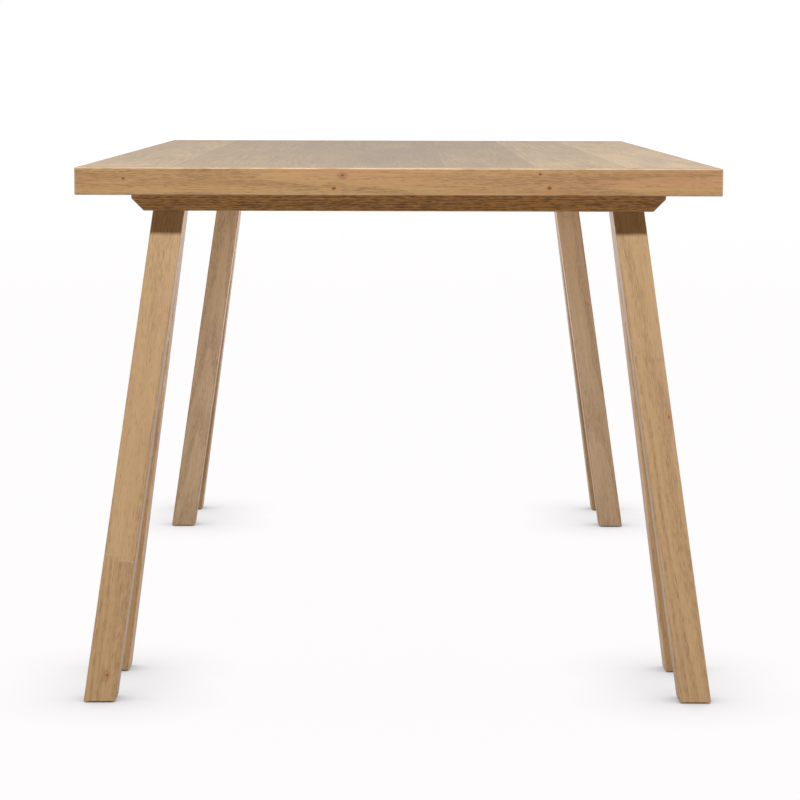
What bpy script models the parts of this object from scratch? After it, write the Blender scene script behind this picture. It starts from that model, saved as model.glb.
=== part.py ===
"""Oak communion table on four splayed, forked legs.

The top is seven lengthwise staves held between two end boards by tongue and groove. A cross bearer is
bolted under each end of the top, its bolts in slots so that the wide top can swell and shrink. Each leg
is an inverted V of two square boards, tenoned into the bearer and dowelled together above the fork.

Metres. +X is across the table, +Y along it, +Z up. The origin is on the floor under the table's middle.
"""
import math

import bmesh
import bpy
from mathutils import Matrix, Vector

# Driving dimensions
TABLE_HEIGHT = 0.750
TOP_WIDTH = 0.900
TOP_LENGTH = 1.600
TOP_THICKNESS = 0.038
STAVE_COUNT = 7
END_BOARD_WIDTH = 0.045
TONGUE_LENGTH = 0.018
TONGUE_THICKNESS = 0.012
TONGUE_HAUNCH = 0.016

BEARER_LENGTH = 0.752
BEARER_WIDTH = 0.078
BEARER_THICKNESS = 0.024
BEARER_BEVEL = 0.0175

LEG_INSET = 0.085
LEG_SECTION = 0.044
LEG_STOCK = 0.900
LEG_SPLAY = math.radians(8.0)
FEET_WIDTH = 0.885
FORK_GAP = 0.148
FORK_HEIGHT = 0.620

TENON_WIDTH = 0.028
TENON_DEPTH = 0.022
TENON_HEIGHT = 0.018
DOWEL_RADIUS = 0.005
DOWEL_LENGTH = 0.050
DOWEL_HEIGHT = 0.655

PAD_SIDE = 0.036
PAD_THICKNESS = 0.0015

BOLT_RADIUS = 0.004
BOLT_SHANK = 0.030
BOLT_HEAD_RADIUS = 0.007
BOLT_HEAD_HEIGHT = 0.0044
BOLT_HEX_RADIUS = 0.0029
BOLT_FLAT_RADIUS = 0.0032
BOLT_HEX_DEPTH = 0.0026
BOLT_ROW_OFFSET = 0.020
WASHER_RADIUS = 0.009
WASHER_THICKNESS = 0.0016
INSERT_RADIUS = 0.006
INSERT_LENGTH = 0.013
COUNTERBORE_DEPTH = 0.008
SLOT_TRAVEL = 0.006
SLOT_CLEARANCE = 0.0006

ARRIS = 0.001
GAP = 0.0003
CUT_MARGIN = 0.010
MERGE = 0.00001
SHARP = math.radians(40)
ROUND_SIDES = 16
HEAD_ARC_STEPS = 3

# Places that follow from them
UNDERSIDE = TABLE_HEIGHT - TOP_THICKNESS
SHOULDER = UNDERSIDE - BEARER_THICKNESS
TOP_MIDDLE = TABLE_HEIGHT - TOP_THICKNESS / 2
STAVE_WIDTH = TOP_WIDTH / STAVE_COUNT
STAVE_END = TOP_LENGTH / 2 - END_BOARD_WIDTH
BEARER_Y = TOP_LENGTH / 2 - LEG_INSET
BOLT_X = 2 * STAVE_WIDTH
WASHER_SEAT = SHOULDER + COUNTERBORE_DEPTH
HEAD_TOP = WASHER_SEAT - WASHER_THICKNESS - 2 * GAP
FORK_SLOPE = FORK_GAP / 2 / FORK_HEIGHT
FORK_LEAN = math.atan(FORK_SLOPE * math.cos(LEG_SPLAY))
FOOT_WIDTH = LEG_SECTION / math.cos(LEG_SPLAY)
FOOT_DEPTH = LEG_SECTION / math.cos(FORK_LEAN)

SIDES = {"left": -1, "right": 1}
ENDS = {"front": -1, "rear": 1}
FORK = {"outer": 1, "inner": -1}


# Scene, collections and materials

for leftover in list(bpy.data.objects):
    bpy.data.objects.remove(leftover, do_unlink=True)


def new_collection(name):
    collection = bpy.data.collections.new(name)
    bpy.context.scene.collection.children.link(collection)
    return collection


def principled(name, colour, roughness, metallic=0.0):
    material = bpy.data.materials.new(name)
    material.use_nodes = True
    shader = material.node_tree.nodes["Principled BSDF"]
    shader.inputs["Base Color"].default_value = (*colour, 1.0)
    shader.inputs["Roughness"].default_value = roughness
    shader.inputs["Metallic"].default_value = metallic
    return material


PARTS = new_collection("communion_table")
CUTTERS = new_collection("cutters")

OAK_TOP = principled("oak_top", (0.52, 0.38, 0.24), 0.45)
OAK_FRAME = principled("oak_frame", (0.47, 0.32, 0.18), 0.50)
BEECH = principled("beech_dowel", (0.62, 0.45, 0.28), 0.60)
STEEL = principled("zinc_steel", (0.62, 0.62, 0.62), 0.35, 1.0)
FELT = principled("felt_pad", (0.08, 0.06, 0.05), 0.95)


# Modelling helpers

def place(obj, name, collection, material=None):
    """Name an object, file it in one collection and give it its material."""
    for home in list(obj.users_collection):
        home.objects.unlink(obj)
    collection.objects.link(obj)
    obj.name = name
    obj.data.name = name
    if material:
        obj.data.materials.append(material)
    return obj


def cube(centre, size):
    bpy.ops.mesh.primitive_cube_add(size=1, location=centre)
    obj = bpy.context.object
    obj.scale = size
    bpy.ops.object.transform_apply(location=False, rotation=False, scale=True)
    return obj


def cylinder(centre, radius, length, axis="Z", sides=ROUND_SIDES):
    turn = (math.pi / 2, 0, 0) if axis == "Y" else (0, 0, 0)
    bpy.ops.mesh.primitive_cylinder_add(
        vertices=sides, radius=radius, depth=length, location=centre, rotation=turn)
    return bpy.context.object


def as_cutter(obj, name):
    place(obj, name, CUTTERS)
    obj.hide_render = True
    obj.display_type = "WIRE"
    return obj


def slot_cutter(name, centre, radius, length):
    """A cylinder stretched along X by the bolts' travel."""
    obj = cylinder(centre, radius, length)
    for vertex in obj.data.vertices:
        if abs(vertex.co.x) > GAP:
            vertex.co.x += math.copysign(SLOT_TRAVEL / 2, vertex.co.x)
    return as_cutter(obj, name)


def boolean(obj, tool, operation="DIFFERENCE"):
    modifier = obj.modifiers.new(tool.name, "BOOLEAN")
    modifier.operation = operation
    modifier.object = tool
    modifier.solver = "EXACT"


def ease_edges(obj, wanted):
    """Chamfer the edges whose two ends, in the object's own axes, pass wanted."""
    mesh = bmesh.new()
    mesh.from_mesh(obj.data)
    edges = [edge for edge in mesh.edges if wanted(*(vertex.co for vertex in edge.verts))]
    bmesh.ops.bevel(mesh, geom=edges, offset=ARRIS, segments=1, affect="EDGES")
    mesh.to_mesh(obj.data)
    mesh.free()


def slice_off(obj, point, normal):
    """Cut the object at a world plane, drop the side the normal points to, and close the cut."""
    bpy.context.view_layer.update()
    inverse = obj.matrix_world.inverted()
    mesh = bmesh.new()
    mesh.from_mesh(obj.data)
    cut = bmesh.ops.bisect_plane(
        mesh, geom=mesh.verts[:] + mesh.edges[:] + mesh.faces[:], clear_outer=True,
        plane_co=inverse @ Vector(point), plane_no=inverse.to_3x3() @ Vector(normal))
    rim = [item for item in cut["geom_cut"] if isinstance(item, bmesh.types.BMEdge)]
    bmesh.ops.edgeloop_fill(mesh, edges=rim)
    bmesh.ops.recalc_face_normals(mesh, faces=mesh.faces)
    mesh.to_mesh(obj.data)
    mesh.free()


def turned(name, outline, location, closed=False):
    """Turn (radius, height) points, listed down the outer side, about a vertical steel axis."""
    shape = bmesh.new()
    points = [shape.verts.new((radius, 0, height)) for radius, height in outline]
    pairs = list(zip(points, points[1:]))
    if closed:
        pairs.append((points[-1], points[0]))
    for pair in pairs:
        shape.edges.new(pair)
    mesh = bpy.data.meshes.new(name)
    shape.to_mesh(mesh)
    shape.free()
    obj = bpy.data.objects.new(name, mesh)
    obj.location = location
    screw = obj.modifiers.new("turn", "SCREW")
    screw.steps = screw.render_steps = ROUND_SIDES
    screw.use_merge_vertices = True
    screw.merge_threshold = MERGE
    return place(obj, name, PARTS, STEEL)


def smooth(obj):
    obj.data.shade_smooth()
    obj.data.set_sharp_from_angle(angle=SHARP)


# Places of the legs' parts

def leg_x(side, height):
    """Middle of a leg's section across the table, at a height."""
    return side * (FEET_WIDTH / 2 - FOOT_WIDTH / 2 - height * math.tan(LEG_SPLAY))


def fork_y(fork, height):
    """Middle of a leg board along the table, measured from the fork's mid-plane, below the fork."""
    return fork * (FORK_GAP / 2 + FOOT_DEPTH / 2 - height * FORK_SLOPE)


def tenon_y(end, fork):
    """Middle of a tenon: halfway from the fork's mid-plane to the board's outer face."""
    outer_face = FORK_GAP / 2 + FOOT_DEPTH - SHOULDER * FORK_SLOPE
    return end * BEARER_Y + end * fork * outer_face / 2


def bolt_places(end):
    """Name, x and y of each bolt under one end of the top."""
    for side_name, side in SIDES.items():
        for row_name, row in FORK.items():
            y = end * (BEARER_Y + row * BOLT_ROW_OFFSET)
            yield f"{side_name}_{row_name}", side * BOLT_X, y


# The top

def top_stave(index):
    """One lengthwise stave, tongued at both ends and bored for the inserts where bolts reach it."""
    x = (index - (STAVE_COUNT - 1) / 2) * STAVE_WIDTH
    length = 2 * STAVE_END - GAP
    name = f"top_stave_{index + 1}"
    stave = cube((x, 0, TOP_MIDDLE), (STAVE_WIDTH - GAP, length, TOP_THICKNESS))
    place(stave, name, PARTS, OAK_TOP)

    outward = {0: -1, STAVE_COUNT - 1: 1}.get(index, 0)
    if outward:
        limit = (STAVE_WIDTH - 2 * GAP) / 2
        ease_edges(stave, lambda start, end: min(start.x * outward, end.x * outward) > limit
                   and abs(start.y - end.y) > length / 2)

    haunch = TONGUE_HAUNCH if outward else GAP
    tongue_width = STAVE_WIDTH - haunch - GAP
    tongue_x = x - outward * (haunch - GAP) / 2
    tongue_length = 2 * (STAVE_END + TONGUE_LENGTH - GAP)
    tongue = cube((tongue_x, 0, TOP_MIDDLE), (tongue_width, tongue_length, TONGUE_THICKNESS))
    boolean(stave, as_cutter(tongue, f"{name}_tongue"), "UNION")

    for end_name, end in ENDS.items():
        for place_name, bolt_x, bolt_y in bolt_places(end):
            if abs(bolt_x - x) < STAVE_WIDTH / 2:
                depth = INSERT_LENGTH + 2 * GAP
                hole = cylinder((bolt_x, bolt_y, UNDERSIDE + (depth - CUT_MARGIN) / 2),
                                INSERT_RADIUS + GAP, depth + CUT_MARGIN)
                boolean(stave, as_cutter(hole, f"insert_hole_{end_name}_{place_name}"))


def top_end_board(end_name, end):
    """The board across the staves' ends, with a stopped groove for their tongues."""
    name = f"top_end_board_{end_name}"
    y = end * (TOP_LENGTH / 2 + STAVE_END + GAP / 2) / 2
    width = END_BOARD_WIDTH - GAP / 2
    board = place(cube((0, y, TOP_MIDDLE), (TOP_WIDTH, width, TOP_THICKNESS)), name, PARTS, OAK_TOP)
    joint = -end * width / 2
    ease_edges(board, lambda start, stop: max(abs(start.y - joint), abs(stop.y - joint)) > GAP)

    depth = TONGUE_LENGTH + GAP
    groove_y = end * (STAVE_END + (depth - CUT_MARGIN) / 2)
    groove = cube((0, groove_y, TOP_MIDDLE),
                  (TOP_WIDTH - 2 * TONGUE_HAUNCH + 2 * GAP, depth + CUT_MARGIN, TONGUE_THICKNESS + 2 * GAP))
    boolean(board, as_cutter(groove, f"{name}_groove"))


# The bearers and what fixes them

def bearer(end_name, end):
    """A flat cross bearer with bevelled ends, mortised for the legs and slotted for its bolts."""
    name = f"bearer_{end_name}"
    y = end * BEARER_Y
    thickness = BEARER_THICKNESS - GAP
    body = place(cube((0, y, SHOULDER + thickness / 2), (BEARER_LENGTH, BEARER_WIDTH, thickness)),
                 name, PARTS, OAK_FRAME)
    for side in SIDES.values():
        slice_off(body, (side * BEARER_LENGTH / 2, y, SHOULDER + BEARER_BEVEL), (side, 0, -1))
    arris = body.modifiers.new("arris", "BEVEL")
    arris.width = ARRIS
    arris.segments = 1

    for side_name, side in SIDES.items():
        for fork_name, fork in FORK.items():
            mortise = cube((leg_x(side, SHOULDER), tenon_y(end, fork), SHOULDER + (TENON_HEIGHT + GAP) / 2),
                           (TENON_WIDTH + 2 * GAP, TENON_DEPTH + 2 * GAP, TENON_HEIGHT + GAP + CUT_MARGIN))
            mortise.location.z -= CUT_MARGIN / 2
            boolean(body, as_cutter(mortise, f"mortise_{end_name}_{side_name}_{fork_name}"))

    for place_name, x, bolt_y in bolt_places(end):
        slot = slot_cutter(f"slot_{end_name}_{place_name}", (x, bolt_y, SHOULDER + BEARER_THICKNESS / 2),
                           BOLT_RADIUS + SLOT_CLEARANCE, BEARER_THICKNESS + CUT_MARGIN)
        recess = slot_cutter(f"counterbore_{end_name}_{place_name}",
                             (x, bolt_y, WASHER_SEAT - (COUNTERBORE_DEPTH + CUT_MARGIN) / 2),
                             WASHER_RADIUS + SLOT_CLEARANCE, COUNTERBORE_DEPTH + CUT_MARGIN)
        boolean(body, slot)
        boolean(body, recess)


def bolt(name, x, y):
    """A button-head bolt, head down, with a hexagon socket."""
    head = [(BOLT_HEAD_RADIUS * math.cos(angle), -BOLT_HEAD_HEIGHT * math.sin(angle))
            for angle in (step * math.pi / 2 / (HEAD_ARC_STEPS + 1) for step in range(HEAD_ARC_STEPS + 1))]
    tip = BOLT_RADIUS - ARRIS / 2
    outline = [(0, BOLT_SHANK), (tip, BOLT_SHANK), (BOLT_RADIUS, BOLT_SHANK - ARRIS / 2), (BOLT_RADIUS, 0)]
    outline += head + [(BOLT_FLAT_RADIUS, -BOLT_HEAD_HEIGHT), (0, -BOLT_HEAD_HEIGHT)]
    obj = turned(name, outline, (x, y, HEAD_TOP))
    socket_z = HEAD_TOP - BOLT_HEAD_HEIGHT + (BOLT_HEX_DEPTH - CUT_MARGIN) / 2
    socket = cylinder((x, y, socket_z), BOLT_HEX_RADIUS, BOLT_HEX_DEPTH + CUT_MARGIN, sides=6)
    boolean(obj, as_cutter(socket, f"{name}_socket"))


def ring(name, outer, inner, bottom, top, x, y):
    """A plain ring, such as a washer or a sleeve."""
    outline = [(inner, top), (outer, top), (outer, bottom), (inner, bottom)]
    turned(name, outline, (x, y, 0), closed=True)


def bearer_fixings(end_name, end):
    """Bolts and washers in the bearer's counterbores, and the inserts they screw into."""
    bore = BOLT_RADIUS + GAP
    washer_top = WASHER_SEAT - GAP
    insert_bottom = UNDERSIDE + GAP
    for place_name, x, y in bolt_places(end):
        spot = f"{end_name}_{place_name}"
        bolt(f"bearer_bolt_{spot}", x, y)
        ring(f"bearer_washer_{spot}", WASHER_RADIUS, bore, washer_top - WASHER_THICKNESS, washer_top, x, y)
        ring(f"top_insert_{spot}", INSERT_RADIUS, bore, insert_bottom, insert_bottom + INSERT_LENGTH, x, y)


# The legs

def leg_board(name, side, end, fork):
    """One square board, leaning out across the table and along it, cut flat at the floor, at the
    bearer and on the fork's mid-plane, with an upright tenon on top."""
    frame_up = Vector((-side * math.sin(LEG_SPLAY), 0, math.cos(LEG_SPLAY)))
    along = Vector((0, end * fork, 0))
    grain = frame_up * math.cos(FORK_LEAN) - along * math.sin(FORK_LEAN)
    depth = along * math.cos(FORK_LEAN) + frame_up * math.sin(FORK_LEAN)
    width = depth.cross(grain)

    middle = SHOULDER / 2
    centre = Vector((leg_x(side, middle), end * (BEARER_Y + fork_y(fork, middle)), middle))
    board = cube((0, 0, 0), (LEG_SECTION, LEG_SECTION, LEG_STOCK))
    ease_edges(board, lambda start, stop: abs(start.z - stop.z) > LEG_SECTION * 2)
    place(board, name, PARTS, OAK_FRAME)
    board.matrix_world = Matrix.Translation(centre) @ Matrix((width, depth, grain)).transposed().to_4x4()

    slice_off(board, (0, 0, PAD_THICKNESS + GAP), (0, 0, -1))
    slice_off(board, (0, 0, SHOULDER - GAP), (0, 0, 1))
    slice_off(board, (0, end * (BEARER_Y + fork * GAP / 2), 0), -along)

    root = CUT_MARGIN / 2
    tenon = cube((leg_x(side, SHOULDER), tenon_y(end, fork), SHOULDER + (TENON_HEIGHT - GAP - root) / 2),
                 (TENON_WIDTH, TENON_DEPTH, TENON_HEIGHT + root - GAP))
    boolean(board, as_cutter(tenon, f"{name}_tenon"), "UNION")
    return board


def leg(side_name, end_name):
    """A forked leg: two boards, the dowel that ties them, and a pad under each foot."""
    side, end = SIDES[side_name], ENDS[end_name]
    spot = f"{end_name}_{side_name}"
    dowel_place = (leg_x(side, DOWEL_HEIGHT), end * BEARER_Y, DOWEL_HEIGHT)
    dowel = cylinder(dowel_place, DOWEL_RADIUS, DOWEL_LENGTH, axis="Y")
    place(dowel, f"leg_dowel_{spot}", PARTS, BEECH)
    smooth(dowel)
    hole = as_cutter(cylinder(dowel_place, DOWEL_RADIUS + GAP, DOWEL_LENGTH + 2 * GAP, axis="Y"),
                     f"dowel_hole_{spot}")
    for fork_name, fork in FORK.items():
        board = leg_board(f"leg_{spot}_{fork_name}", side, end, fork)
        boolean(board, hole)
        pad = cube((leg_x(side, 0), end * (BEARER_Y + fork_y(fork, 0)), PAD_THICKNESS / 2),
                   (PAD_SIDE, PAD_SIDE, PAD_THICKNESS))
        place(pad, f"foot_pad_{spot}_{fork_name}", PARTS, FELT)


for stave_index in range(STAVE_COUNT):
    top_stave(stave_index)

for end_label, end_sign in ENDS.items():
    top_end_board(end_label, end_sign)
    bearer(end_label, end_sign)
    bearer_fixings(end_label, end_sign)
    for side_label in SIDES:
        leg(side_label, end_label)
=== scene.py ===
"""The oak communion table's looks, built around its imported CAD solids. Metres, in the CAD frame."""

import math
import random

import bmesh
import bpy
from mathutils import Matrix, Vector, noise

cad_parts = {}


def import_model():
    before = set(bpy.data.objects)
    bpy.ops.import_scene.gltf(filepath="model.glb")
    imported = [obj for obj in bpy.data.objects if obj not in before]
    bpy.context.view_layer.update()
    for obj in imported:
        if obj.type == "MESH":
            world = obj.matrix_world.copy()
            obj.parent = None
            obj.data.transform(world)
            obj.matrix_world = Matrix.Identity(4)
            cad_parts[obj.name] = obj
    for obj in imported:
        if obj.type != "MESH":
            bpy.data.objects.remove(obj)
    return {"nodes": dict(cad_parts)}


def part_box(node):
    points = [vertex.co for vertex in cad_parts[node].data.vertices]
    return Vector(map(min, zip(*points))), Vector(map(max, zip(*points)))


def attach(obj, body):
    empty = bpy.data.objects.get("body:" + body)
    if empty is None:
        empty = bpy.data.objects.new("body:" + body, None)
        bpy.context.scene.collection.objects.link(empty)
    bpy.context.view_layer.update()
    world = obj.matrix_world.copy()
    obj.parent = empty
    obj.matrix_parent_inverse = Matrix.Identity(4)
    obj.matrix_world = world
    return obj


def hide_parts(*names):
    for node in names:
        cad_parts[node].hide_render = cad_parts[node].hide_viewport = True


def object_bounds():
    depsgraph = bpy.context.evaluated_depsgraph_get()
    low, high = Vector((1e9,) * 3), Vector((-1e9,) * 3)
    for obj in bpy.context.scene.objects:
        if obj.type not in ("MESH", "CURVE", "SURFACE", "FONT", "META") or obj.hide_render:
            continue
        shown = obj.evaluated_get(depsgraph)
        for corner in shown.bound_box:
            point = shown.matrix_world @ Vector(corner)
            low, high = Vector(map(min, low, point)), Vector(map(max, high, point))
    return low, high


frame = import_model()
CAD_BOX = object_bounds()

BODY = "root"
NODES = frame["nodes"]
SIDES = ("left", "right")
ENDS = ("front", "rear")
FORK = ("outer", "inner")
STAVES = sorted(name for name in NODES if name.startswith("top_stave_"))

# Camera: its angles are in radians, and its lens and sensor in millimetres
CAMERA_PLACE = (-0.0042, -4.342, 0.8726)
CAMERA_DOWN = math.radians(7.18)
CAMERA_TURN = -0.0019
CAMERA_ROLL = 0.0027
CAMERA_LENS = 114.67
CAMERA_SENSOR = 36.0

# Cleaning and softening the CAD solids
WELD = 0.00001
FLAT = math.radians(0.5)
SHARP = math.radians(25)
ARRIS = 0.00035
ARRIS_STEPS = 3
SHORTEST_ARRIS = 0.025
GLUE_LINE = 0.00012

# The oak's structure
RING_WIDTH = 0.0032
RING_UNEVEN = 2.4
SEED_STEP = 3.7
# How wide the worn edges and their painted highlight run
WEAR_AND_HIGHLIGHT_WIDTH = 0.0022
HALF_SEAM = 0.0002

# The glued end joint in a leg board: its line steps by this much at the board's middle
JOINT_STEP = 0.006
JOINT_SHADE = 0.14

# Which sides of a board are open to wear and the painted edge highlight: low and high, for width,
# thickness and grain
ALL_OPEN = ((1, 1), (1, 1), (1, 1))
END_BOARD_OPEN = ((1, 1), (0, 1), (1, 1))
HIDDEN = 2.0

# Bolts, washers and inserts
TURNED_SIDES = 48
BOLT_RADIUS = 0.004
BOLT_HEAD_HEIGHT = 0.0044
BOLT_HEAD_RIM = 0.0009
BOLT_HEAD_DOME = math.radians(62)
SOCKET_DEPTH = 0.0024
PLAIN_SHANK = 0.005
FILLET = 0.0003
BORE = 0.0043
EASE = 0.0002
THREAD_PITCH = 0.00125
THREAD_DEPTH = 0.0006
INSERT_PITCH = 0.0026
INSERT_THREAD_DEPTH = 0.0009

# Dowels and pads
FLUTES = 20
FLUTE_DEPTH = 0.0004
CHAMFER = 0.0030
PAD_CORNER = 0.004
PAD_RIM = 0.0004
PAD_RAGGED = 0.00025

# Lamps and floor
KEY_ELEVATION = math.radians(52)
KEY_DISTANCE = 6.5
KEY_SIZE = 0.42
KEY_POWER = 490.0
LEG_FILL_PLACE = (0, -3.2, 0.5)
LEG_FILL_AIM = (0, 0.7, 0.35)
LEG_FILL_SIZE = 0.8
LEG_FILL_TINT = (1.0, 0.92, 0.80)
LEG_FILL_POWERS = (("rear", 50.0), ("front", 42.0))
SIDE_FILLS = (("rear_fill", (0, 5, 0.38), 60.0), ("left_fill", (-5, 0, 0.38), 40.0),
              ("right_fill", (5, 0, 0.38), 40.0))
SIDE_FILL_AIM = (0, 0, 0.4)
SIDE_FILL_SIZE = 0.6
SIDE_FILL_TINT = (1.0, 0.93, 0.84)
FLOOR_HALF = 80.0
FLOOR_DROP = 0.0002
# How far the painted shadow round the feet reaches
PAINTED_SHADOW_REACH = 0.16


# Node graphs

class Graph:
    """Short calls for a node tree. A value is a number, a tuple or another node's output."""

    def __init__(self, owner):
        owner.use_nodes = True
        self.owner = owner
        self.tree = owner.node_tree
        self.tree.nodes.clear()

    def feed(self, socket, value):
        if isinstance(value, bpy.types.NodeSocket):
            self.tree.links.new(value, socket)
        else:
            socket.default_value = value

    def add(self, kind, inputs=None, **settings):
        node = self.tree.nodes.new(kind)
        for key, value in settings.items():
            setattr(node, key, value)
        for key, value in (inputs or {}).items():
            self.feed(node.inputs[key], value)
        return node

    def math(self, operation, *values):
        return self.add("ShaderNodeMath", dict(enumerate(values)), operation=operation).outputs[0]

    def vector(self, operation, *values):
        node = self.add("ShaderNodeVectorMath", dict(enumerate(values)), operation=operation)
        return node.outputs["Value" if operation == "LENGTH" else "Vector"]

    def scaled(self, vector, factors):
        return self.vector("MULTIPLY", vector, factors)

    def split(self, vector):
        return self.add("ShaderNodeSeparateXYZ", {0: vector}).outputs[:]

    def join(self, x, y, z):
        return self.add("ShaderNodeCombineXYZ", {0: x, 1: y, 2: z}).outputs[0]

    def noise(self, vector, scale=1.0, detail=2.0, output="Fac"):
        node = self.add("ShaderNodeTexNoise", {"Vector": vector, "Scale": scale, "Detail": detail})
        return node.outputs[output]

    def ramp(self, value, low, high, bottom=0.0, top=1.0):
        """Go smoothly from bottom to top as value goes from low to high."""
        node = self.add("ShaderNodeMapRange", {0: value, 1: low, 2: high, 3: bottom, 4: top},
                        interpolation_type="SMOOTHSTEP")
        return node.outputs[0]

    def mix(self, factor, first, second):
        node = self.add("ShaderNodeMix", {0: factor, 6: first, 7: second}, data_type="RGBA")
        return node.outputs[2]

    def attribute(self, name):
        return self.add("ShaderNodeAttribute", attribute_name=name).outputs["Vector"]

    def surface(self, shader):
        """Make shader the surface of the graph's material, and return the material."""
        output = self.add("ShaderNodeOutputMaterial")
        self.tree.links.new(shader.outputs[0], output.inputs[0])
        return self.owner


def colour(red, green, blue):
    return (red, green, blue, 1.0)


def darker(base, share):
    return colour(*(share * channel for channel in base[:3]))


def new_material(name):
    return Graph(bpy.data.materials.new(name))


# Oak

def edge_nearness(g):
    """1 on a board's open edges, fading over two millimetres of the faces beside them.

    A point lies near an edge when it is near two faces, so the second smallest of its gaps counts.
    """
    gaps = g.vector("SUBTRACT", g.attribute("reach"), g.vector("ABSOLUTE", g.attribute("rim")))
    a, b, c = g.split(gaps)
    smaller = g.math("MINIMUM", a, b)
    second = g.math("MAXIMUM", smaller, g.math("MINIMUM", g.math("MAXIMUM", a, b), c))
    return g.ramp(second, HALF_SEAM, WEAR_AND_HIGHLIGHT_WIDTH, 1.0, 0.0)


def knot_field(g, place, grain, knots):
    """The rings' push round knots, the knots themselves, and the stain about the ones that are placed.

    Each knot in knots is a place in the board and a size. Small ones are also scattered in the tree.
    """
    lift = 0.0
    core = 0.0
    halo = 0.0
    for spot, size in knots:
        offset = g.vector("SUBTRACT", place, spot)
        near = g.vector("LENGTH", g.scaled(offset, (1 / size, 0.3 / size, 0.7 / size)))
        swirl = g.math("MULTIPLY", g.math("POWER", near, 2.0), -0.10)
        lift = g.math("ADD", g.math("EXPONENT", swirl), lift)
        core = g.math("MAXIMUM", g.ramp(near, 0.6, 1.1, 1.0, 0.0), core)
        halo = g.math("MAXIMUM", g.ramp(near, 0.8, 4.0, 1.0, 0.0), halo)

    cell_scale = (13.0, 13.0, 4.2)
    scattered = g.scaled(grain, cell_scale)
    cells = g.add("ShaderNodeTexVoronoi", {"Vector": scattered, "Scale": 1.0})
    offset = g.vector("SUBTRACT", scattered, cells.outputs["Position"])
    offset = g.vector("DIVIDE", offset, cell_scale)
    chosen = g.ramp(g.split(cells.outputs["Color"])[0], 0.70, 0.72)
    near = g.vector("LENGTH", g.scaled(offset, (520.0, 520.0, 380.0)))
    hump = g.math("EXPONENT", g.math("MULTIPLY", g.math("POWER", near, 2.0), -0.06))
    lift = g.math("ADD", g.math("MULTIPLY", hump, chosen), lift)
    small = g.math("MULTIPLY", g.ramp(near, 0.6, 1.1, 1.0, 0.0), chosen)
    return lift, g.math("MAXIMUM", small, core), halo


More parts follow.
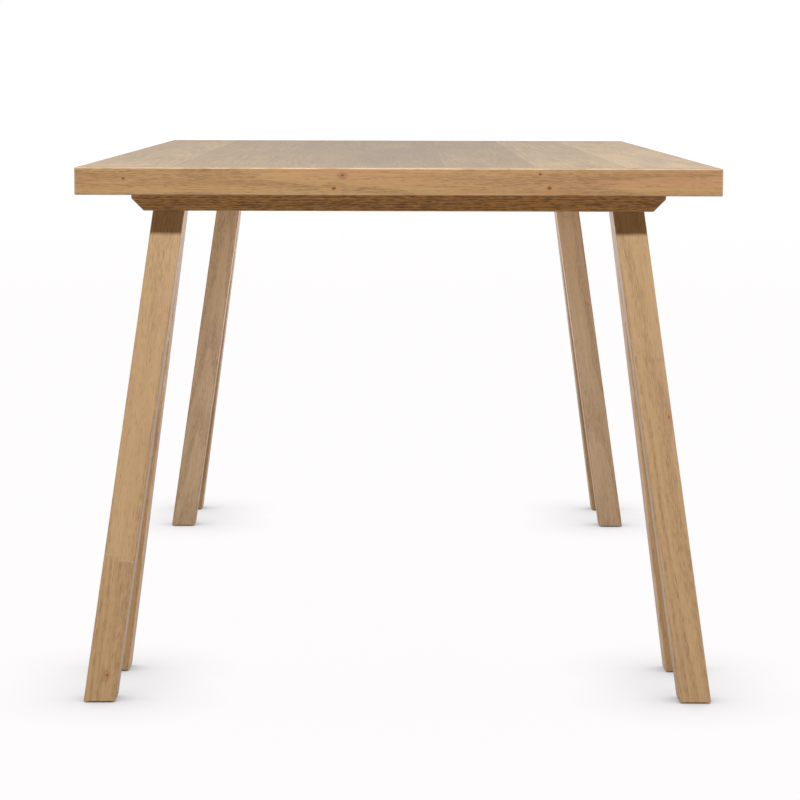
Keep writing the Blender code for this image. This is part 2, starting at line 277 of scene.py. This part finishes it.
def oak(name, pale, dark, rose, knots=(), joint=None, contrast=1.0, figure=1.0, open_grain=0.38,
        sawn=0.0, roughness=0.44, coat=0.6):
    """Oiled oak: rings about the tree's axis, open pores in the early wood, ray flecks and knots.

    Attributes carry what the mesh knows. grain is the place in the tree, with z along the grain, and
    place is the place in the board. rim and reach tell how far off the open edges are. tone is the board's
    shade and hue. joint is where along the board it has a glued end joint: the grain below it is another
    length's, and a little darker.
    """
    g = new_material(name)
    grain = g.attribute("grain")
    place = g.attribute("place")
    tone, tint, _ = g.split(g.attribute("tone"))
    glue = 0.0
    if joint is not None:
        across, _, along = g.split(place)
        along = g.math("ADD", along, g.ramp(across, -HALF_SEAM, HALF_SEAM, JOINT_STEP, 0.0))
        below = g.ramp(along, joint - HALF_SEAM, joint + HALF_SEAM, 1.0, 0.0)
        grain = g.vector("ADD", grain, g.scaled(g.join(below, below, below), (0.011, 0.017, 2.3)))
        tone = g.math("ADD", tone, g.math("MULTIPLY", below, JOINT_SHADE))
        from_line = g.math("ABSOLUTE", g.math("SUBTRACT", along, joint))
        glue = g.ramp(from_line, 0.0003, 0.0012, 1.0, 0.0)

    # The rings wander slowly, ripple finely and bend round knots
    middle = (0.5, 0.5, 0.5)
    wander = g.noise(g.scaled(grain, (6, 6, 0.8)), detail=1.0, output="Color")
    wander = g.vector("SUBTRACT", wander, middle)
    ripple = g.noise(g.scaled(grain, (70, 70, 7)), detail=2.0, output="Color")
    ripple = g.vector("SUBTRACT", ripple, middle)
    tree = g.vector("ADD", grain, g.scaled(wander, (0.030, 0.030, 0.0)))
    tree = g.vector("ADD", tree, g.scaled(ripple, (0.0026, 0.0026, 0.0)))
    x, y, z = g.split(tree)
    lift, knot, halo = knot_field(g, place, grain, knots)
    radius = g.math("ADD", g.vector("LENGTH", g.join(x, y, 0.0)), g.math("MULTIPLY", lift, 0.0018))
    turn = g.math("ARCTAN2", y, x)

    # Rings, some wide and some narrow, with coarse early wood and smooth late wood
    uneven = g.noise(g.join(g.math("MULTIPLY", radius, 60.0), 0.0, 0.0), detail=1.0)
    phase = g.math("ADD", g.math("DIVIDE", radius, RING_WIDTH), g.math("MULTIPLY", uneven, RING_UNEVEN))
    ring = g.math("FRACT", phase)
    early = g.math("MULTIPLY", g.ramp(ring, 0.0, 0.10), g.ramp(ring, 0.25, 0.80, 1.0, 0.0))

    # Pores: fine dark dashes along the grain, crowded in the early wood
    strands = g.noise(g.scaled(grain, (1500, 1500, 70)), detail=1.0)
    lowest = g.math("SUBTRACT", 0.62, g.math("MULTIPLY", early, 0.10 * figure))
    fine = g.ramp(strands, lowest, g.math("ADD", lowest, 0.07))
    dashes = g.noise(g.scaled(grain, (640, 640, 60)), detail=1.0)
    lowest = g.math("SUBTRACT", 0.68, g.math("MULTIPLY", early, 0.08 * figure))
    coarse = g.ramp(dashes, lowest, g.math("ADD", lowest, 0.08))
    pores = g.math("MAXIMUM", fine, coarse)

    # Ray flecks: thin across the rings, long out from the pith
    rays = g.scaled(g.join(turn, radius, z), (70.0, 24.0, 45.0))
    flecks = g.ramp(g.noise(rays, detail=1.0), 0.62, 0.72)

    # Slow changes of shade over the board, and streaks along it
    clouds = g.noise(g.scaled(grain, (8, 8, 3.5)), detail=3.0)
    broad = g.noise(g.scaled(grain, (130, 130, 2.2)), detail=2.0)
    narrow = g.noise(g.scaled(grain, (620, 620, 9.0)), detail=2.0)
    hue = g.noise(g.scaled(grain, (26, 26, 3.0)), detail=2.0)
    torn = g.noise(g.scaled(tree, (520, 520, 75)), detail=2.0)

    parts = ((early, 0.2, 0.15 * figure), (broad, 0.5, 0.55), (narrow, 0.5, 0.70), (clouds, 0.5, 0.60),
             (flecks, 0.0, -0.06), (dashes, 0.5, 0.30), (torn, 0.5, sawn))
    shade = g.math("ADD", 0.40, tone)
    for part, centre, weight in parts:
        change = g.math("MULTIPLY", g.math("SUBTRACT", part, centre), weight * contrast)
        shade = g.math("ADD", shade, change)
    base = g.mix(g.ramp(shade, 0.0, 1.0), pale, dark)
    rosy = g.math("ADD", tint, g.math("MULTIPLY", g.math("SUBTRACT", hue, 0.5), 2.6))
    base = g.mix(g.ramp(rosy, 0.0, 1.0), base, g.mix(g.ramp(shade, 0.0, 1.0), rose, darker(rose, 0.55)))
    base = g.mix(g.math("MULTIPLY", pores, open_grain), base, darker(dark, 0.42))
    base = g.mix(g.math("MULTIPLY", halo, 0.45), base, colour(0.40, 0.18, 0.07))
    base = g.mix(g.math("MULTIPLY", knot, 0.85), base, colour(0.11, 0.04, 0.012))
    base = g.mix(g.math("MULTIPLY", glue, 0.35), base, colour(0.62, 0.50, 0.36))

    # Edges are rubbed paler and smoother where hands and cloths reach them; the paler colour also paints
    # the highlight on their rounded arrises
    wear_and_highlight = g.math("MULTIPLY", edge_nearness(g), g.ramp(g.noise(grain, scale=22.0), 0.30, 0.55))
    base = g.mix(g.math("MULTIPLY", wear_and_highlight, 0.55), base, colour(0.86, 0.72, 0.54))

    rough = g.math("ADD", g.math("MULTIPLY", narrow, 0.12), roughness - 0.06)
    rough = g.math("ADD", rough, g.math("MULTIPLY", pores, 0.22))
    rough = g.math("SUBTRACT", rough, g.math("MULTIPLY", wear_and_highlight, 0.08))
    relief = g.math("ADD", g.math("MULTIPLY", early, -0.30), g.math("MULTIPLY", pores, -1.0))
    relief = g.math("ADD", relief, g.math("MULTIPLY", narrow, 0.6))
    bump = g.add("ShaderNodeBump", {"Strength": 0.5, "Distance": 0.00010, "Height": relief})
    shader = g.add("ShaderNodeBsdfPrincipled", {
        "Base Color": base, "Roughness": rough, "Normal": bump.outputs[0], "Specular IOR Level": 0.5,
        "Coat Weight": coat, "Coat Roughness": 0.32})
    return g.surface(shader)


def zinc_steel():
    """Bright zinc on steel, with a bluish cast in places and faint handling marks."""
    g = new_material("zinc_steel")
    where = g.add("ShaderNodeNewGeometry").outputs["Position"]
    cloud = g.noise(where, scale=260.0, detail=3.0)
    marks = g.noise(g.scaled(where, (900, 900, 5200)), detail=2.0)
    base = g.mix(cloud, colour(0.50, 0.53, 0.57), colour(0.68, 0.68, 0.65))
    rough = g.math("ADD", g.math("MULTIPLY", marks, 0.16), 0.20)
    bump = g.add("ShaderNodeBump", {"Strength": 0.25, "Distance": 0.00003, "Height": marks})
    shader = g.add("ShaderNodeBsdfPrincipled", {
        "Base Color": base, "Roughness": rough, "Normal": bump.outputs[0], "Metallic": 1.0})
    return g.surface(shader)


def felt():
    """Dark brown pressed felt."""
    g = new_material("felt_pad")
    where = g.add("ShaderNodeNewGeometry").outputs["Position"]
    fibres = g.noise(g.scaled(where, (2600, 2600, 900)), detail=4.0)
    cloud = g.noise(where, scale=140.0, detail=2.0)
    base = g.mix(fibres, colour(0.030, 0.022, 0.017), colour(0.085, 0.066, 0.052))
    base = g.mix(g.math("MULTIPLY", cloud, 0.3), base, colour(0.11, 0.09, 0.07))
    bump = g.add("ShaderNodeBump", {"Strength": 0.8, "Distance": 0.0002, "Height": fibres})
    rough = g.math("ADD", g.math("MULTIPLY", fibres, 0.10), 0.88)
    shader = g.add("ShaderNodeBsdfPrincipled", {
        "Base Color": base, "Roughness": rough, "Normal": bump.outputs[0], "Specular IOR Level": 0.2,
        "Sheen Weight": 0.3, "Sheen Roughness": 0.6})
    return g.surface(shader)


# Finishing a piece

PIECES = bpy.data.collections.new("communion_table")
bpy.context.scene.collection.children.link(PIECES)


def add_piece(node, mesh, material):
    """Put a finished mesh in the scene in place of a CAD node."""
    data = bpy.data.meshes.new(f"fine_{node}")
    mesh.to_mesh(data)
    mesh.free()
    data.materials.append(material)
    data.shade_smooth()
    data.set_sharp_from_angle(angle=SHARP)
    piece = bpy.data.objects.new(f"fine_{node}", data)
    PIECES.objects.link(piece)
    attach(piece, BODY)
    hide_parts(node)
    return piece


# Boards

def cad_mesh(node):
    """A CAD node's solid with its corners welded and its flat faces whole."""
    mesh = bmesh.new()
    mesh.from_mesh(NODES[node].data)
    bmesh.ops.remove_doubles(mesh, verts=mesh.verts, dist=WELD)
    bmesh.ops.dissolve_limit(mesh, angle_limit=FLAT, verts=mesh.verts, edges=mesh.edges)
    return mesh


def board_axes(mesh, facing):
    """Width, thickness and grain: the grain runs along the longest edge, thickness the way it faces."""
    longest = max(mesh.edges, key=lambda edge: edge.calc_length())
    grain = (longest.verts[1].co - longest.verts[0].co).normalized()
    if grain.dot(Vector((1, 1, 1))) < 0:
        grain.negate()
    sides = [face.normal for face in mesh.faces if abs(face.normal.dot(grain)) < 0.01]
    thickness = max(sides, key=lambda normal: round(normal.dot(facing), 3)).copy()
    return Matrix((thickness.cross(grain), thickness, grain))


def half_extent(mesh, middle, axis):
    """The distance from the middle to the board's outermost faces, along one of its axes."""
    return max(abs((face.calc_center_median() - middle).dot(axis)) for face in mesh.faces
               if abs(face.normal.dot(axis)) > 0.9)


def soften(mesh):
    """Round the long outer edges, as sandpaper leaves them."""
    edges = [edge for edge in mesh.edges
             if len(edge.link_faces) == 2 and edge.is_convex and edge.calc_face_angle() > SHARP
             and edge.calc_length() > SHORTEST_ARRIS]
    bmesh.ops.bevel(mesh, geom=edges, offset=ARRIS, segments=ARRIS_STEPS, profile=0.5,
                    affect="EDGES", clamp_overlap=True)


def rim_frame(half, open_sides):
    """Shift and reach: on each axis, reach - |place + shift| is the distance to the nearer open side."""
    shift, reach = Vector(), Vector()
    for axis, (low_open, high_open) in enumerate(open_sides):
        shift[axis] = HIDDEN * (high_open - low_open)
        reach[axis] = half[axis] + (0 if low_open and high_open else HIDDEN)
    return shift, reach


def write_attributes(data, axes, middle, half, pith, tilt, seed, tone, tint, open_sides=ALL_OPEN):
    """Write each vertex's place in the board and in the tree, and the board's own tone."""
    names = ("grain", "place", "rim", "reach", "tone")
    shift, reach = rim_frame(half, open_sides)
    for name in names:
        data.attributes.new(name, "FLOAT_VECTOR", "POINT")
    layers = {name: data.attributes[name].data for name in names}
    for vertex in data.vertices:
        place = axes @ (vertex.co - middle)
        layers["place"][vertex.index].vector = place
        layers["grain"][vertex.index].vector = (
            place.x - pith[0] - tilt[0] * place.z,
            place.y - pith[1] - tilt[1] * place.z,
            place.z + seed * SEED_STEP)
        layers["rim"][vertex.index].vector = place + shift
        layers["reach"][vertex.index].vector = reach
        layers["tone"][vertex.index].vector = (tone, tint, 0.0)


board_count = 0


def board(node, material, facing, tone=0.0, tint=0.0, grow=(0.0, 0.0, 0.0),
          open_sides=ALL_OPEN):
    """A board of oak in place of a CAD node. grow pushes its outer faces out to meet its neighbours.

    open_sides says, for width, thickness and grain, whether the low and high sides are open to wear and to
    the painted edge highlight. How far off the tree's pith lies, and how the grain slopes to the board,
    are drawn for each board.
    """
    global board_count
    board_count += 1
    draw = random.Random(board_count)
    mesh = cad_mesh(node)
    low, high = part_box(node)
    middle = (low + high) / 2
    axes = board_axes(mesh, Vector(facing))
    half = Vector([half_extent(mesh, middle, axis) for axis in axes])
    for vertex in mesh.verts:
        for axis in range(3):
            reach = vertex.co[axis] - middle[axis]
            if grow[axis] and abs(abs(reach) - (high - low)[axis] / 2) < WELD:
                vertex.co[axis] += math.copysign(grow[axis], reach)
    soften(mesh)
    pith = (draw.uniform(-0.03, 0.03), -draw.uniform(0.045, 0.110))
    tilt = (draw.uniform(-0.012, 0.012), draw.uniform(-0.020, 0.020))
    piece = add_piece(node, mesh, material)
    write_attributes(piece.data, axes, middle, half, pith, tilt, board_count, tone, tint, open_sides)
    flat = piece.modifiers.new("flat_faces", "WEIGHTED_NORMAL")
    flat.keep_sharp = True
    flat.weight = 100
    return piece


# Turned pieces

# A section is a function that gives the surface's distance from the axis, at an angle and a height

def round_section(radius, angle, height):
    return radius


def hexagon(radius, angle, height):
    """A hexagon's distance from its middle, whose corners are at radius."""
    return radius * math.cos(math.pi / 6) / math.cos(angle % (math.pi / 3) - math.pi / 6)


def fluted(radius, angle, height):
    return radius - FLUTE_DEPTH * (0.5 + 0.5 * math.cos(FLUTES * angle)) ** 2


def threaded(pitch, depth):
    """A screw thread's section: a ridge that climbs one pitch a turn."""
    def section(radius, angle, height):
        climb = (height / pitch - angle / (2 * math.pi)) % 1.0
        return radius - depth * (1.0 - abs(2.0 * climb - 1.0))
    return section


def lathe(outline, closed=False, sides=TURNED_SIDES):
    """Turn (radius, height, section) points, listed down the outer side, about Z."""
    mesh = bmesh.new()
    rows = []
    for radius, height, section in outline:
        if radius == 0:
            rows.append([mesh.verts.new((0, 0, height))] * sides)
            continue
        row = []
        for step in range(sides):
            angle = step * 2 * math.pi / sides
            reach = section(radius, angle, height)
            row.append(mesh.verts.new((reach * math.cos(angle), reach * math.sin(angle), height)))
        rows.append(row)
    pairs = list(zip(rows, rows[1:]))
    if closed:
        pairs.append((rows[-1], rows[0]))
    for upper, lower in pairs:
        for step in range(sides):
            after = (step + 1) % sides
            corners = (upper[step], lower[step], lower[after], upper[after])
            mesh.faces.new(list(dict.fromkeys(corners)))
    bmesh.ops.recalc_face_normals(mesh, faces=mesh.faces)
    return mesh


def steps(start, stop, count):
    """Evenly spaced values from start to stop, both included."""
    return [start + (stop - start) * step / count for step in range(count + 1)]


def screw_run(radius, top, bottom, section, pitch, per_turn=8):
    count = round((top - bottom) / pitch * per_turn)
    return [(radius, height, section) for height in steps(top, bottom, count)]


def bolt_outline(head_radius, height):
    """A button-head bolt, tip up and head down, from the tip's middle to the socket's bottom."""
    collar = BOLT_HEAD_HEIGHT
    thread = threaded(THREAD_PITCH, THREAD_DEPTH)
    outline = [(0, height, round_section), (BOLT_RADIUS * 0.72, height, round_section)]
    outline += screw_run(BOLT_RADIUS, height - 0.0008, collar + PLAIN_SHANK + 0.001, thread, THREAD_PITCH)
    outline += [(BOLT_RADIUS, collar + PLAIN_SHANK, round_section)]
    outline += [(BOLT_RADIUS, collar + FILLET, round_section)]
    outline += [(BOLT_RADIUS + FILLET, collar, round_section)]
    outline += [(head_radius - EASE, collar, round_section)]
    outline += [(head_radius, collar - FILLET, round_section)]
    for angle in steps(0.0, BOLT_HEAD_DOME, 10):
        share = math.sin(angle) / math.sin(BOLT_HEAD_DOME)
        drop = BOLT_HEAD_RIM + (collar - BOLT_HEAD_RIM) * share
        outline.append((head_radius * math.cos(angle), collar - drop, round_section))
    socket = head_radius * 0.42
    outline += [(socket * 1.08, 0.00002, hexagon), (socket, 0.0003, hexagon)]
    outline += [(socket, SOCKET_DEPTH, hexagon), (0, SOCKET_DEPTH + 0.0006, round_section)]
    return outline


def washer_outline(radius, thickness):
    """A washer with its corners eased."""
    upper, lower = thickness - EASE, EASE
    corners = [(BORE + EASE, thickness), (radius - EASE, thickness), (radius, upper), (radius, lower),
               (radius - EASE, 0.0), (BORE + EASE, 0.0), (BORE, lower), (BORE, upper)]
    return [(reach, height, round_section) for reach, height in corners]


def insert_outline(radius, height):
    """A screwed-in sleeve: a coarse thread outside, and a fine one inside."""
    coarse = threaded(INSERT_PITCH, INSERT_THREAD_DEPTH)
    fine = threaded(THREAD_PITCH, -THREAD_DEPTH / 2)
    outline = [(BORE + 0.0004, height, round_section), (radius * 0.82, height, round_section)]
    outline += screw_run(radius, height - 0.0010, 0.0016, coarse, INSERT_PITCH, 12)
    outline += [(radius, 0.0010, round_section), (radius, EASE, round_section)]
    outline += [(radius - EASE, 0.0, round_section), (BORE + 0.0008, 0.0, round_section)]
    outline += screw_run(BORE, 0.0008, height - 0.0008, fine, THREAD_PITCH)
    return outline


def steel_piece(node, shape, closed=False):
    """A turned steel piece in its CAD node's place.

    shape makes its outline from its radius and height, with heights counted from its lowest point.
    """
    low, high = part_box(node)
    middle = (low + high) / 2
    mesh = lathe(shape((high.x - low.x) / 2, high.z - low.z), closed)
    bmesh.ops.translate(mesh, verts=mesh.verts, vec=(middle.x, middle.y, low.z))
    return add_piece(node, mesh, STEEL)


def dowel(node):
    """A fluted beech dowel with chamfered ends, lying along Y, and the attributes of its grain."""
    low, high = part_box(node)
    middle = (low + high) / 2
    radius = (high.z - low.z) / 2
    reach = (high.y - low.y) / 2
    outline = [(0, reach, round_section), (radius * 0.70, reach, round_section)]
    outline += [(radius * 0.97, reach - 0.0016, round_section), (radius, reach - CHAMFER, fluted)]
    outline += [(radius, height, fluted) for height in steps(reach - 0.004, -reach + 0.004, 12)]
    outline += [(radius, -reach + CHAMFER, fluted), (radius * 0.97, -reach + 0.0016, round_section)]
    outline += [(radius * 0.70, -reach, round_section), (0, -reach, round_section)]
    mesh = lathe(outline, sides=4 * FLUTES)
    turn = Matrix.Rotation(-math.pi / 2, 4, "X")
    bmesh.ops.transform(mesh, matrix=Matrix.Translation(middle) @ turn, verts=mesh.verts)
    piece = add_piece(node, mesh, BEECH)
    axes = Matrix(((1, 0, 0), (0, 0, 1), (0, 1, 0)))
    half = Vector((radius, radius, reach))
    write_attributes(piece.data, axes, middle, half, (0.05, 0.03), (0, 0), len(node), 0.0, 0.3)
    return piece


def felt_pad(node, seed):
    """A felt pad with rounded corners and a slightly ragged rim."""
    low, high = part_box(node)
    mesh = bmesh.new()
    bmesh.ops.create_cube(mesh, size=1.0)
    bmesh.ops.scale(mesh, vec=high - low, verts=mesh.verts)
    upright = [edge for edge in mesh.edges if abs(edge.verts[0].co.z - edge.verts[1].co.z) > 0.001]
    bmesh.ops.bevel(mesh, geom=upright, offset=PAD_CORNER, segments=5, affect="EDGES")
    rims = [edge for edge in mesh.edges if edge.calc_face_angle() > math.radians(60)]
    bmesh.ops.bevel(mesh, geom=rims, offset=PAD_RIM, segments=2, affect="EDGES")
    bmesh.ops.triangulate(mesh, faces=mesh.faces)
    bmesh.ops.subdivide_edges(mesh, edges=mesh.edges, cuts=3, use_grid_fill=True)
    half_width = (high.x - low.x) / 2
    for vertex in mesh.verts:
        pull = noise.noise(vertex.co * 400 + Vector((seed, 0, 0))) * PAD_RAGGED - PAD_RAGGED
        vertex.co.x *= 1 + pull / half_width
        vertex.co.y *= 1 + pull / half_width
    bmesh.ops.translate(mesh, verts=mesh.verts, vec=(low + high) / 2)
    piece = add_piece(node, mesh, FELT)
    return piece


# Materials of this table

OAK_PALE = colour(0.56, 0.390, 0.215)
OAK_DARK = colour(0.36, 0.215, 0.098)
OAK_ROSE = colour(0.54, 0.350, 0.220)
END_PALE = colour(0.545, 0.352, 0.163)
END_DARK = colour(0.35, 0.192, 0.080)
END_ROSE = colour(0.62, 0.325, 0.180)
# The bearers' colours are painted light: the pale one is brighter, and both are more orange than the other
# oak, to make up for the fill they miss in the top's shadow
BEARER_PALE_WITH_PAINTED_LIGHT = colour(0.80, 0.495, 0.165)
BEARER_DARK_WITH_PAINTED_LIGHT = colour(0.30, 0.155, 0.048)
TOP_PALE = colour(0.64, 0.435, 0.200)
TOP_DARK = colour(0.30, 0.180, 0.076)
TOP_ROSE = colour(0.46, 0.285, 0.165)

OAK_TOP = oak("oak_top", TOP_PALE, TOP_DARK, TOP_ROSE, figure=0.5)
OAK_END = oak("oak_end_board", END_PALE, END_DARK, END_ROSE, open_grain=0.45)
OAK_LEG = oak("oak_leg", OAK_PALE, OAK_DARK, OAK_ROSE, contrast=0.75)
# The bearers' oak: rough-sawn grain, with painted light in its colours
OAK_BEARER_WITH_PAINTED_LIGHT = oak("oak_bearer_with_painted_light", BEARER_PALE_WITH_PAINTED_LIGHT, BEARER_DARK_WITH_PAINTED_LIGHT, OAK_ROSE, contrast=1.2, open_grain=0.6,
                 sawn=2.0)
BEECH = oak("beech_dowel", colour(0.66, 0.47, 0.31), colour(0.54, 0.36, 0.22), colour(0.66, 0.45, 0.32),
            contrast=0.5, roughness=0.6, coat=0.0)
STEEL = zinc_steel()
FELT = felt()

# Knots in the front end board: where they are in the board (across, through, along), and their size
FRONT_KNOTS = (
    ((0.004, 0.022, -0.382), 0.0020),
    ((0.009, 0.022, -0.078), 0.0018),
    ((-0.009, 0.022, -0.090), 0.0024),
    ((0.011, 0.022, 0.196), 0.0017),
    ((-0.008, 0.022, 0.209), 0.0026),
)
OAK_END_FRONT = oak("oak_end_board_front", END_PALE, END_DARK, END_ROSE, knots=FRONT_KNOTS,
                    open_grain=0.45)

# Two legs of their own: one is glued up from two lengths, and both have a small knot
LEFT_KNOTS = (((-0.007, 0.022, -0.322), 0.0025),)
RIGHT_KNOTS = (((-0.016, 0.022, 0.044), 0.0024),)
OAK_LEG_LEFT = oak("oak_leg_front_left", OAK_PALE, OAK_DARK, OAK_ROSE, knots=LEFT_KNOTS, joint=-0.153,
                   contrast=0.75)
OAK_LEG_RIGHT = oak("oak_leg_front_right", OAK_PALE, OAK_DARK, OAK_ROSE, knots=RIGHT_KNOTS,
                    contrast=0.75)
LEG_OAK = {"leg_front_left_outer": OAK_LEG_LEFT, "leg_front_right_outer": OAK_LEG_RIGHT}
LEG_TONES = {"leg_front_right_outer": -0.04, "leg_front_left_outer": -0.16}


# The top

STAVE_TINTS = (-0.35, -0.05, 0.40, 0.50, 0.25, 0.05, 0.30)
STAVE_TONES = (0.12, 0.30, 0.33, 0.38, 0.33, 0.10, -0.20)
for index, stave in enumerate(STAVES):
    outer = (int(index == 0), int(index == len(STAVES) - 1))
    board(stave, OAK_TOP, facing=(0, 0, 1), tone=STAVE_TONES[index], tint=STAVE_TINTS[index],
          grow=(GLUE_LINE, 0.0, 0.0), open_sides=(outer, (1, 1), (0, 0)))
board("top_end_board_front", OAK_END_FRONT, facing=(0, -1, 0), open_sides=END_BOARD_OPEN)
board("top_end_board_rear", OAK_END, facing=(0, 1, 0), open_sides=END_BOARD_OPEN)

# The bearers, the legs and what fixes them

for end in ENDS:
    board(f"bearer_{end}", OAK_BEARER_WITH_PAINTED_LIGHT, facing=(0, 0, -1))
    for side in SIDES:
        for fork in FORK:
            leg = f"leg_{end}_{side}_{fork}"
            board(leg, LEG_OAK.get(leg, OAK_LEG), facing=(0, -1, 0),
                  tone=LEG_TONES.get(leg, 0.0))
            spot = f"{end}_{side}_{fork}"
            steel_piece(f"bearer_bolt_{spot}", bolt_outline)
            steel_piece(f"bearer_washer_{spot}", washer_outline, closed=True)
            steel_piece(f"top_insert_{spot}", insert_outline, closed=True)
            felt_pad(f"foot_pad_{spot}", board_count)
        dowel(f"leg_dowel_{end}_{side}")


# Stage, lights and camera

WARM = colour(1.0, 0.62, 0.27)


def floor():
    """A plain pale studio floor that glows evenly, with painted shadow where the feet are near."""
    mesh = bmesh.new()
    bmesh.ops.create_grid(mesh, x_segments=1, y_segments=1, size=FLOOR_HALF)
    data = bpy.data.meshes.new("studio_floor")
    mesh.to_mesh(data)
    mesh.free()
    g = new_material("studio_floor")
    path = g.add("ShaderNodeLightPath")
    # Painted shadow: the floor's glow is darkened by ambient occlusion near the feet
    painted_contact_shadow = g.add("ShaderNodeAmbientOcclusion", {"Distance": PAINTED_SHADOW_REACH}, samples=8).outputs["AO"]
    painted_contact_shadow = g.math("POWER", painted_contact_shadow, 0.8)
    distance = g.vector("LENGTH", g.add("ShaderNodeNewGeometry").outputs["Position"])
    # Painted reflection: for glossy rays the floor glows dimmer and pinker near the table and brighter
    # further off
    mirrored = g.math("MULTIPLY", path.outputs["Is Glossy Ray"],
                      g.ramp(distance, 1.0, 6.0, -0.25, 0.35))
    seen = g.math("ADD", g.ramp(distance, 3.0, 30.0, 0.95, 1.05), mirrored)
    # For diffuse rays the floor glows dim and warm, and this light falls on the table
    dimmed = g.math("SUBTRACT", 1.0, g.math("MULTIPLY", path.outputs["Is Diffuse Ray"], 0.76))
    strength = g.math("MULTIPLY", g.math("MULTIPLY", seen, painted_contact_shadow), dimmed)
    tint = g.mix(path.outputs["Is Glossy Ray"], colour(1.0, 0.99, 1.0), colour(1.0, 0.88, 0.83))
    tint = g.mix(path.outputs["Is Diffuse Ray"], tint, WARM)
    glow = g.add("ShaderNodeEmission", {"Color": tint, "Strength": strength})
    dull = g.add("ShaderNodeBsdfDiffuse", {"Color": colour(0.12, 0.12, 0.12)})
    both = g.add("ShaderNodeAddShader", {0: glow.outputs[0], 1: dull.outputs[0]})
    data.materials.append(g.surface(both))
    obj = bpy.data.objects.new("studio_floor", data)
    obj.location.z = CAD_BOX[0].z - FLOOR_DROP
    bpy.context.scene.collection.objects.link(obj)


def world():
    """A white studio, brightest low down behind the table."""
    surroundings = bpy.data.worlds.new("studio")
    bpy.context.scene.world = surroundings
    g = Graph(surroundings)
    direction = g.add("ShaderNodeTexCoord").outputs["Generated"]
    _, along, up = g.split(direction)
    behind = g.ramp(along, -0.45, 0.15)
    low_down = g.ramp(up, 0.2, 1.0, 1.0, 0.5)
    path = g.add("ShaderNodeLightPath")
    lit = g.math("MULTIPLY", g.math("ADD", g.math("MULTIPLY", behind, 0.53), 0.20), low_down)
    strength = g.math("MAXIMUM", lit, path.outputs["Is Camera Ray"])
    tint = g.mix(behind, WARM, colour(1.0, 0.965, 0.91))
    tint = g.mix(path.outputs["Is Camera Ray"], tint, colour(1.0, 1.0, 1.0))
    glow = g.add("ShaderNodeBackground", {"Color": tint, "Strength": strength})
    output = g.add("ShaderNodeOutputWorld")
    g.tree.links.new(glow.outputs[0], output.inputs[0])


def area_light(name, place, aim, size, power, lit, tint=(1.0, 1.0, 1.0), mirrored=True):
    """A round lamp that lights one collection's pieces only, and shows in their gloss if mirrored."""
    data = bpy.data.lights.new(name, "AREA")
    data.shape = "DISK"
    data.size = size
    data.energy = power
    data.color = tint
    obj = bpy.data.objects.new(name, data)
    obj.location = place
    obj.rotation_euler = (Vector(aim) - Vector(place)).to_track_quat("-Z", "Y").to_euler()
    bpy.context.scene.collection.objects.link(obj)
    obj.light_linking.receiver_collection = lit
    obj.visible_camera = False
    obj.visible_glossy = mirrored


def camera():
    data = bpy.data.cameras.new("camera")
    data.lens = CAMERA_LENS
    data.sensor_width = CAMERA_SENSOR
    obj = bpy.data.objects.new("camera", data)
    turn = Matrix.Rotation(CAMERA_TURN, 4, "Z")
    look = Matrix.Rotation(math.pi / 2 - CAMERA_DOWN, 4, "X")
    roll = Matrix.Rotation(CAMERA_ROLL, 4, "Z")
    obj.matrix_world = Matrix.Translation(CAMERA_PLACE) @ turn @ look @ roll
    bpy.context.scene.collection.objects.link(obj)
    bpy.context.scene.camera = obj


floor()
world()
camera()

front_edge = Vector((0, CAD_BOX[0].y, CAD_BOX[1].z))
key_way = Vector((0, -math.cos(KEY_ELEVATION), math.sin(KEY_ELEVATION)))
area_light("key", front_edge + KEY_DISTANCE * key_way, front_edge, KEY_SIZE, KEY_POWER, PIECES)

# Low lamps for the boards that the key leaves in the top's shadow: the rear legs and the front inner ones
for end, power in LEG_FILL_POWERS:
    shaded_legs = bpy.data.collections.new(f"{end}_shaded_legs")
    for side in SIDES:
        for fork in FORK:
            if end == "rear" or fork == "inner":
                shaded_legs.objects.link(bpy.data.objects[f"fine_leg_{end}_{side}_{fork}"])
    area_light(f"{end}_leg_fill", LEG_FILL_PLACE, LEG_FILL_AIM, LEG_FILL_SIZE, power, shaded_legs,
               tint=LEG_FILL_TINT)

# Weak lamps, lower than the top, for the sides that the key leaves in shade
for name, place, power in SIDE_FILLS:
    area_light(name, place, SIDE_FILL_AIM, SIDE_FILL_SIZE, power, PIECES, tint=SIDE_FILL_TINT,
               mirrored=False)

bpy.context.scene.view_settings.view_transform = "Standard"
